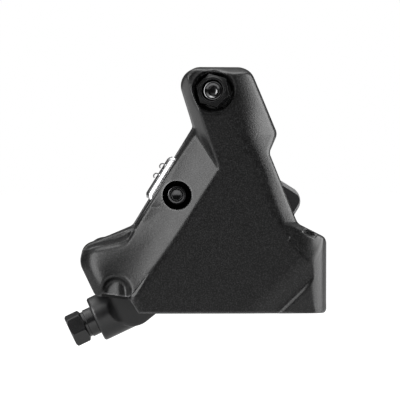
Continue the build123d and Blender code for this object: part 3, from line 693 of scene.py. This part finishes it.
def frontBlock(x, z, front, form):
    # A closed block whose near side is the front
    rows, columns = x.shape
    points = np.stack([x, front, z], axis=-1).reshape(-1, 3)
    index = np.arange(rows * columns).reshape(rows, columns)
    quads = np.stack([index[:-1, :-1], index[:-1, 1:], index[1:, 1:], index[1:, :-1]], axis=-1).reshape(-1, 4)
    rim = np.concatenate([index[0, :], index[1:, -1], index[-1, -2::-1], index[-2:0:-1, 0]])
    back = points[rim].copy()
    back[:, 1] = form["backReach"]
    first = len(points)
    loop = np.arange(len(rim))
    following = np.roll(loop, -1)
    sides = np.stack([rim[loop], first + loop, first + following, rim[following]], axis=-1)
    faces = quads.tolist() + sides.tolist() + [(first + loop[::-1]).tolist()]
    return solidOf("frontShape", np.vstack([points, back]), faces)


def buildOuter(form):
    outline = roundOutline(outerOutline)
    low = outline.min(axis=0) - form["margin"]
    high = outline.max(axis=0) + form["margin"]
    xs = np.arange(low[0], high[0], form["grid"])
    zs = np.arange(low[1], high[1], form["grid"])
    x, z = np.meshgrid(xs, zs)
    front = outerFront(x, z, form)
    front = rolledBack(front, rollRadius(x, z, form), insideDistance(x, z, outline))
    front = shapeBulge(x, z, front, form)
    fromPort = np.hypot(x - form["bleed"][0], z - form["bleed"][1])
    front = rolledBack(front, form["bleedRimRound"], fromPort - form["bleedRim"])
    shape = frontBlock(x, z, front, form)
    body = cut(cadCopy("outer_housing"), stockBlock(form["valley"], form), "UNION")
    body = cut(body, stockBlock(form["pocketFill"], form), "UNION")
    mesh = settled(cut(body, shape, "INTERSECT"))
    mesh.name = "outerHalf"
    addPiece("outerHalf", mesh, "satinBlack", "housing", "outer_housing", form["crease"])


buildOuter(outerForm)
print("outer half made")

# Inner half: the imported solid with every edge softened
innerForm = {"voxel": 0.3, "passes": 3, "smooth": 0.5, "crease": 60}
addPiece("innerHalf", melt(cadCopy("inner_housing"), innerForm), "satinBlack", "housing", "inner_housing",
         innerForm["crease"])
print("inner half made")


# Hose connection

banjoForm = {"place": (-25.51, 13.0, 5.56), "turn": 205.4, "offset": 1.3, "barrelEnd": 16.3, "flat": 5.0,
             "flatEnd": 12.6, "flatRound": 3.0, "arcSteps": 8, "cutterReach": 12.0, "voxel": 0.22,
             "passes": 4, "smooth": 0.5, "crease": 60}
barrelAngle = radians(banjoForm["turn"])
barrelAlong = (cos(barrelAngle), 0, sin(barrelAngle))


def alongBarrel(reach):
    # A point on the barrel's axis, a reach from the bolt
    x, y, z = banjoForm["place"]
    sideways = barrelAngle + pi / 2
    x = x + banjoForm["offset"] * cos(sideways) + reach * cos(barrelAngle)
    z = z + banjoForm["offset"] * sin(sideways) + reach * sin(barrelAngle)
    return (x, y, z)


def flatCutter(side, form):
    # A block with a rounded end that faces one side of the barrel
    middle, bend, far = form["flatEnd"] - form["flatRound"], form["flatRound"], form["cutterReach"]
    angles = [pi / 2 * i / form["arcSteps"] for i in range(form["arcSteps"] + 1)]
    section = [(-far, form["flat"])]
    section += [(middle + bend * sin(angle), form["flat"] + bend - bend * cos(angle)) for angle in angles]
    section += [(form["flatEnd"], far), (-far, far)]
    work = bmesh.new()
    near, back = [[work.verts.new((across * mm, side * out * mm, reach * mm)) for reach, out in section]
                  for across in (-far, far)]
    for i in range(len(section)):
        j = (i + 1) % len(section)
        work.faces.new((near[i], near[j], back[j], back[i]))
    work.faces.new(near)
    work.faces.new(back)
    mesh = meshFrom(work, "flatCutter")
    along = Vector(barrelAlong)
    mesh.transform(axisMatrix(alongBarrel(0), along, Vector((0, 1, 0)).cross(along)))
    return placed("flatCutter", mesh)


def buildBanjo(form):
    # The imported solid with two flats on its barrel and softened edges
    solid = cadCopy("banjo")
    for side in (-1, 1):
        solid = cut(solid, flatCutter(side, form))
    addPiece("banjoBody", melt(solid, form), "hardBlack", "hose_banjo", "banjo", form["crease"])


buildBanjo(banjoForm)

nutForm = {"across": 8.0, "turn": 17.0, "hexLow": 3.2, "hexHigh": 7.5, "chamfer": 0.45, "faceTrim": 0.1,
           "thread": 3.6, "threadLow": -6.0, "threadHigh": -0.4, "undercut": 0.2, "collar": 3.85,
           "collarBreak": 0.15, "groove": 0.3, "grooveLow": 2.3, "grooveSlant": 0.15, "grooveHigh": 3.05,
           "bore": 2.58, "boreBreak": 0.3, "crease": 28}


def buildNut(form):
    across, turn, bore, thread = form["across"], form["turn"], form["bore"], form["thread"]
    collar, waist, collarBreak = form["collar"], form["collar"] - form["groove"], form["collarBreak"]
    face = across / 2 - form["faceTrim"]
    hexTop = form["hexHigh"] - form["chamfer"]
    profile = [(form["threadLow"], bore), (form["threadLow"], thread), (form["threadHigh"], thread)]
    profile += [(form["threadHigh"], thread - form["undercut"]), (0.0, thread - form["undercut"])]
    profile += [(0.0, collar - collarBreak), (collarBreak, collar), (form["grooveLow"], collar)]
    profile += [(form["grooveLow"] + form["grooveSlant"], waist), (form["grooveHigh"], waist)]
    profile += [(form["hexLow"], face, across, turn)]
    profile += chamferRings(form["hexLow"], face, across, turn, form["chamfer"], rising=False)
    profile += [(hexTop, hexCorner(across), across, turn)]
    profile += chamferRings(hexTop, face, across, turn, form["chamfer"])
    profile += [(form["hexHigh"], bore + form["boreBreak"]), (form["hexHigh"] - form["boreBreak"], bore)]
    profile += [(form["threadLow"], bore)]
    matrix = axisMatrix(alongBarrel(banjoForm["barrelEnd"]), barrelAlong, (0, 1, 0))
    mesh = ringMesh("hoseNutTurned", profile, matrix)
    addPiece("hoseNutTurned", mesh, "blackSteel", "hose_banjo", "hose_nut", form["crease"])


buildNut(nutForm)

# Bleed port; its heights are counted along its axis from the floor of its bore
bleedForm = {"place": (-8.725, -8.5, 59.056), "deep": 2.9, "lean": 146.5, "tilt": 17.0, "across": 8.0,
             "turn": 12.0, "threadLow": -7.0, "thread": 3.5, "passage": 1.0, "hexLow": 0.5, "lowTrim": 0.05,
             "lowChamfer": 0.35, "top": 4.1, "shoulder": 0.75, "topTrim": 0.25, "topChamfer": 0.5,
             "rim": [(0.12, 3.6), (0.0, 3.45), (0.0, 3.15), (0.1, 2.95)], "mouth": 2.93, "seat": 1.3,
             "screwBore": 1.98, "boreLow": -3.0, "crease": 25}
screwForm = {"gap": 0.5, "stem": 4.7, "stemRadius": 1.9, "tip": 0.4, "neck": 2.7, "head": 1.7,
             "headBreak": 0.15, "headRadius": 2.85, "crown": 0.7, "crownMiddle": 2.15, "mouth": 1.95,
             "mouthDeep": 0.35, "keyRound": 1.45, "key": 2.5, "keyTurn": 10, "keyDeep": 1.2, "drill": 0.9,
             "drillDeep": 1.5, "crease": 25}


def bleedMatrix(form):
    lean = radians(form["lean"])
    tilt = radians(form["tilt"])
    out = Vector((cos(lean) * sin(tilt), -cos(tilt), sin(lean) * sin(tilt)))
    return axisMatrix(Vector(form["place"]) - out * form["deep"], out, (1, 0, 0))


def buildFitting(form):
    across, turn, top = form["across"], form["turn"], form["top"]
    seat, boreLow = form["seat"], form["boreLow"]
    shoulder = top - form["shoulder"]
    lowFace = across / 2 - form["lowTrim"]
    profile = [(form["threadLow"], form["passage"]), (form["threadLow"], form["thread"])]
    profile += [(form["hexLow"], form["thread"]), (form["hexLow"], lowFace, across, turn)]
    profile += chamferRings(form["hexLow"], lowFace, across, turn, form["lowChamfer"], rising=False)
    profile += [(shoulder, hexCorner(across), across, turn)]
    profile += chamferRings(shoulder, across / 2 - form["topTrim"], across, turn, form["topChamfer"])
    profile += [(top - drop, radius) for drop, radius in form["rim"]]
    profile += [(seat, form["mouth"]), (seat, form["screwBore"]), (boreLow, form["screwBore"])]
    profile += [(boreLow, form["passage"]), (form["threadLow"], form["passage"])]
    mesh = ringMesh("bleedHex", profile, bleedMatrix(form))
    addPiece("bleedHex", mesh, "deepBlack", "housing", "bleed_fitting", form["crease"])


def buildScrew(form):
    seat = bleedForm["seat"] + form["gap"]
    head = seat + form["head"]
    stem = seat - form["stem"]
    radius, keyRound, key = form["stemRadius"], form["keyRound"], (form["key"], form["keyTurn"])
    keyTop, keyLow = head - form["mouthDeep"], head - form["keyDeep"]
    profile = [(stem, 0), (stem, radius - form["tip"]), (stem + form["tip"], radius), (seat, radius)]
    profile += [(seat, form["neck"]), (seat + form["headBreak"], form["headRadius"])]
    profile += crownRings(head, form["crownMiddle"], form["crown"])
    profile += [(head, form["mouth"]), (keyTop, keyRound), (keyTop, keyRound, *key), (keyLow, keyRound, *key)]
    profile += [(keyLow, form["drill"]), (head - form["drillDeep"], 0)]
    mesh = ringMesh("bleedScrewTurned", profile, bleedMatrix(bleedForm))
    addPiece("bleedScrewTurned", mesh, "darkChrome", "bleed_screw", "bleed_screw", form["crease"])


buildFitting(bleedForm)
buildScrew(screwForm)

# Pad pin; its heights are counted from the seat of its head
pinForm = {"place": (-18.18, 1.1, 31.33), "radius": 2.0, "tail": 26.3, "tailBreak": 0.4, "groove": 23.37,
           "grooveLong": 0.62, "grooveEnd": 0.02, "grooveDeep": 0.4, "head": 2.6, "headBreak": 0.1,
           "headHeight": 2.8, "crown": 0.6, "mouth": 1.75, "mouthDeep": 0.3, "keyRound": 1.45, "key": 2.5,
           "keyTurn": 20, "keyDeep": 1.8, "drill": 0.9, "drillDeep": 0.3, "crease": 25}


def buildPin(form):
    radius, tail, groove, top = form["radius"], form["tail"], form["groove"], form["headHeight"]
    waist = radius - form["grooveDeep"]
    keyTop, keyLow = top - form["mouthDeep"], top - form["keyDeep"]
    keyRound, key = form["keyRound"], (form["key"], form["keyTurn"])
    profile = [(-tail, 0), (-tail, radius - form["tailBreak"]), (form["tailBreak"] - tail, radius)]
    profile += [(-groove - form["grooveLong"], radius), (-groove - form["grooveLong"], waist)]
    profile += [(form["grooveEnd"] - groove, waist), (form["grooveEnd"] - groove, radius), (0, radius)]
    profile += [(0, form["head"] - form["headBreak"]), (form["headBreak"], form["head"])]
    profile += crownRings(top, form["head"] - form["crown"], form["crown"])
    profile += [(top, form["mouth"]), (keyTop, keyRound), (keyTop, keyRound, *key), (keyLow, keyRound, *key)]
    profile += [(keyLow, form["drill"]), (keyLow - form["drillDeep"], 0)]
    matrix = axisMatrix(form["place"], (0, -1, 0), (1, 0, 0))
    addPiece("padPinTurned", ringMesh("padPinTurned", profile, matrix), "darkChrome", "housing", "pad_pin",
             form["crease"])


buildPin(pinForm)

# Pad spring: an arched sheet over the pin, two legs and two curled tongues
springForm = {"pin": (-18.18, 13.0, 31.33), "lean": 32.0, "sheet": 0.3, "crease": 40,
              "low": -4.7, "high": 8.1, "half": 2.45, "top": 6.7, "shoulder": 3.6, "archRows": 24,
              "archColumns": 16, "archSweep": 0.96, "archPower": 0.7, "endLong": 1.2, "endDrop": 0.7,
              "hole": 2.12, "legAt": 2.15, "legReach": 8.6, "legHalf": 4.0, "legSteps": 32,
              "curls": (1.5, 4.6), "curlSeat": 6.9, "curlRadius": 0.75, "curlHalf": 1.3, "curlStart": -70,
              "curlTurn": 290, "curlSteps": 16}


def addSheet(work, rows):
    grid = [[work.verts.new(point * mm) for point in row] for row in rows]
    for lower, upper in zip(grid, grid[1:]):
        for a, b, c, d in zip(lower, lower[1:], upper[1:], upper):
            work.faces.new((a, b, c, d))


def archRows(form, pin, out, up, across):
    # The sheet bends round the pin and dips at both ends
    rows = []
    for i in range(form["archRows"] + 1):
        along = form["low"] + (form["high"] - form["low"]) * i / form["archRows"]
        full = min(1.0, (along - form["low"]) / form["endLong"], (form["high"] - along) / form["endLong"])
        row = []
        for k in range(form["archColumns"] + 1):
            angle = pi * (k / form["archColumns"] - 0.5) * form["archSweep"]
            rise = form["shoulder"] + (form["top"] - form["shoulder"]) * cos(angle) ** form["archPower"]
            rise = rise - form["endDrop"] * (1 - full) ** 2
            row.append(pin + out * rise + up * along + across * form["half"] * sin(angle))
        rows.append(row)
    return rows


def legRows(form, side, pin, out, up, across):
    # A leg with a round hole for the pin
    middle = pin + across * side * form["legAt"]
    rows = []
    for i in range(form["legSteps"] + 1):
        angle = 2 * pi * i / form["legSteps"]
        ring = Vector((cos(angle), sin(angle)))
        sideways = form["legReach"] if ring.x < 0 else form["shoulder"]
        reach = min(form["legHalf"] / max(abs(ring.y), tiny), sideways / max(abs(ring.x), tiny))
        rows.append([middle + out * ring.x * away + up * ring.y * away for away in (form["hole"], reach)])
    return rows


def curlRows(form, place, pin, out, up, across):
    centre = pin + out * form["curlSeat"] + up * place
    rows = []
    for i in range(form["curlSteps"] + 1):
        angle = radians(form["curlStart"] + form["curlTurn"] * i / form["curlSteps"])
        point = centre + (up * sin(angle) + out * cos(angle)) * form["curlRadius"]
        rows.append([point - across * form["curlHalf"], point + across * form["curlHalf"]])
    return rows


def buildSpring(form):
    lean = radians(form["lean"])
    axes = [Vector(form["pin"]), Vector((-cos(lean), 0, sin(lean))), Vector((sin(lean), 0, cos(lean))),
            Vector((0, 1, 0))]
    work = bmesh.new()
    addSheet(work, archRows(form, *axes))
    for side in (-1, 1):
        addSheet(work, legRows(form, side, *axes))
    for place in form["curls"]:
        addSheet(work, curlRows(form, place, *axes))
    piece = placed("springWork", meshFrom(work, "springSheet"))
    addModifier(piece, "SOLIDIFY", thickness=form["sheet"] * mm, offset=0)
    addPiece("springSheet", settled(piece), "brightSteel", "housing", "pad_spring", form["crease"])


buildSpring(springForm)

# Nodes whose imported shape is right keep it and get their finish
plainNodes = {
    "body_bolts": "blackSteel", "banjo_bolt": "blackSteel", "banjo_washers": "softAluminium",
    "hose_ferrule": "brass", "pad_pin_clip": "brightSteel",
    "outer_piston": "pistonResin", "inner_piston": "pistonResin",
    "outer_piston_seal": "rubber", "inner_piston_seal": "rubber", "crossover_seal": "rubber",
    "bleed_fitting_seal": "rubber", "bleed_screw_seal": "rubber",
    "outer_pad_plate": "plateSteel", "inner_pad_plate": "plateSteel",
    "outer_pad_shim": "shimCoat", "inner_pad_shim": "shimCoat",
    "outer_pad_lining": "friction", "inner_pad_lining": "friction",
}
for name, look in plainNodes.items():
    slots = nodes[name].data.materials
    slots.clear()
    slots.append(finish[look])
print("small pieces made")


# Studio

studio = {
    "target": (-11.9, 0.0, 30.0), "azimuth": -2.0, "elevation": 1.0, "distance": 1000.0,
    "lens": 337.08, "sensor": 36, "nearestMetres": 0.05, "farthestMetres": 50,
    "frontLight": 0.025, "backLight": 0.07, "backSpan": (-0.5, 0.9), "skyLight": 1.0, "skySpan": (0.4, 1.0),
    "floorMetres": 6.0, "floorDrop": 7.0, "floorColour": (0.3, 0.3, 0.3, 1), "floorRough": 0.9,
    "floorSpecular": 0.1, "floorGlow": 0.87, "floorShine": 0.3,
    "lampDistance": 600.0,
    "lamps": {
        "leftBox": dict(towards=(-0.79, -0.46, 0.22), width=400, height=640, power=3.5),
        "rightBox": dict(towards=(0.985, -0.08, 0.13), width=560, height=460, power=4.9),
        "topBox": dict(towards=(0.0, 0.15, 0.98), width=600, height=400, power=2.1),
    },
}


def buildCamera(values):
    azimuth = radians(values["azimuth"])
    elevation = radians(values["elevation"])
    back = Vector((sin(azimuth) * cos(elevation), -cos(azimuth) * cos(elevation), sin(elevation)))
    data = bpy.data.cameras.new("camera")
    data.sensor_width = values["sensor"]
    data.lens = values["lens"]
    data.clip_start = values["nearestMetres"]
    data.clip_end = values["farthestMetres"]
    camera = placed("camera", data)
    camera.location = (Vector(values["target"]) + back * values["distance"]) * mm
    camera.rotation_mode = "QUATERNION"
    camera.rotation_quaternion = (-back).to_track_quat("-Z", "Y")
    scene.camera = camera


def buildFloor(values):
    # White to the camera, a little less so in reflections, and grey to all other light
    half = values["floorMetres"] / 2
    height = cadBox[0].z - values["floorDrop"] * mm  # below the nut at the end of its swing
    mesh = bpy.data.meshes.new("floor")
    corners = [(-half, -half, height), (half, -half, height), (half, half, height), (-half, half, height)]
    mesh.from_pydata(corners, [], [(0, 1, 2, 3)])
    material, tree, shader = newMaterial("paleFloor")
    shader.inputs["Base Color"].default_value = values["floorColour"]
    shader.inputs["Roughness"].default_value = values["floorRough"]
    shader.inputs["Specular IOR Level"].default_value = values["floorSpecular"]
    path = tree.nodes.new("ShaderNodeLightPath")
    shine = mathNode(tree, "MULTIPLY", path.outputs["Is Glossy Ray"], values["floorShine"])
    glow = mathNode(tree, "MULTIPLY_ADD", path.outputs["Is Camera Ray"], values["floorGlow"], shine)
    shader.inputs["Emission Color"].default_value = white
    tree.links.new(glow, shader.inputs["Emission Strength"])
    mesh.materials.append(material)
    floor = placed("floor", mesh)


def buildWorld(values):
    # White to the camera; the object is lit from the back and from straight above
    world = bpy.data.worlds.new("studio")
    world.use_nodes = True
    scene.world = world
    tree = world.node_tree
    background = tree.nodes["Background"]
    coords = tree.nodes.new("ShaderNodeTexCoord")
    split = tree.nodes.new("ShaderNodeSeparateXYZ")
    tree.links.new(coords.outputs["Generated"], split.inputs["Vector"])
    behind = remap(tree, split.outputs["Y"], values["frontLight"], values["backLight"], *values["backSpan"],
                   "SMOOTHSTEP")
    above = remap(tree, split.outputs["Z"], 0.0, values["skyLight"], *values["skySpan"], "SMOOTHSTEP")
    path = tree.nodes.new("ShaderNodeLightPath")
    both = mathNode(tree, "ADD", behind, above)
    strength = mathNode(tree, "MAXIMUM", both, path.outputs["Is Camera Ray"])
    background.inputs["Color"].default_value = white
    tree.links.new(strength, background.inputs["Strength"])


def softBox(name, towards, width, height, power):
    # A soft box in a direction from the object, turned to face it
    data = bpy.data.lights.new(name, "AREA")
    data.shape = "RECTANGLE"
    data.size = width * mm
    data.size_y = height * mm
    data.energy = power
    lamp = placed(name, data)
    aim = Vector(towards).normalized()
    lamp.location = (Vector(studio["target"]) + aim * studio["lampDistance"]) * mm
    lamp.rotation_mode = "QUATERNION"
    lamp.rotation_quaternion = aim.to_track_quat("Z", "Y")
    lamp.visible_camera = False


buildCamera(studio)
buildFloor(studio)
buildWorld(studio)
for name, values in studio["lamps"].items():
    softBox(name, **values)
print("studio made")

scene.view_settings.view_transform = "Standard"
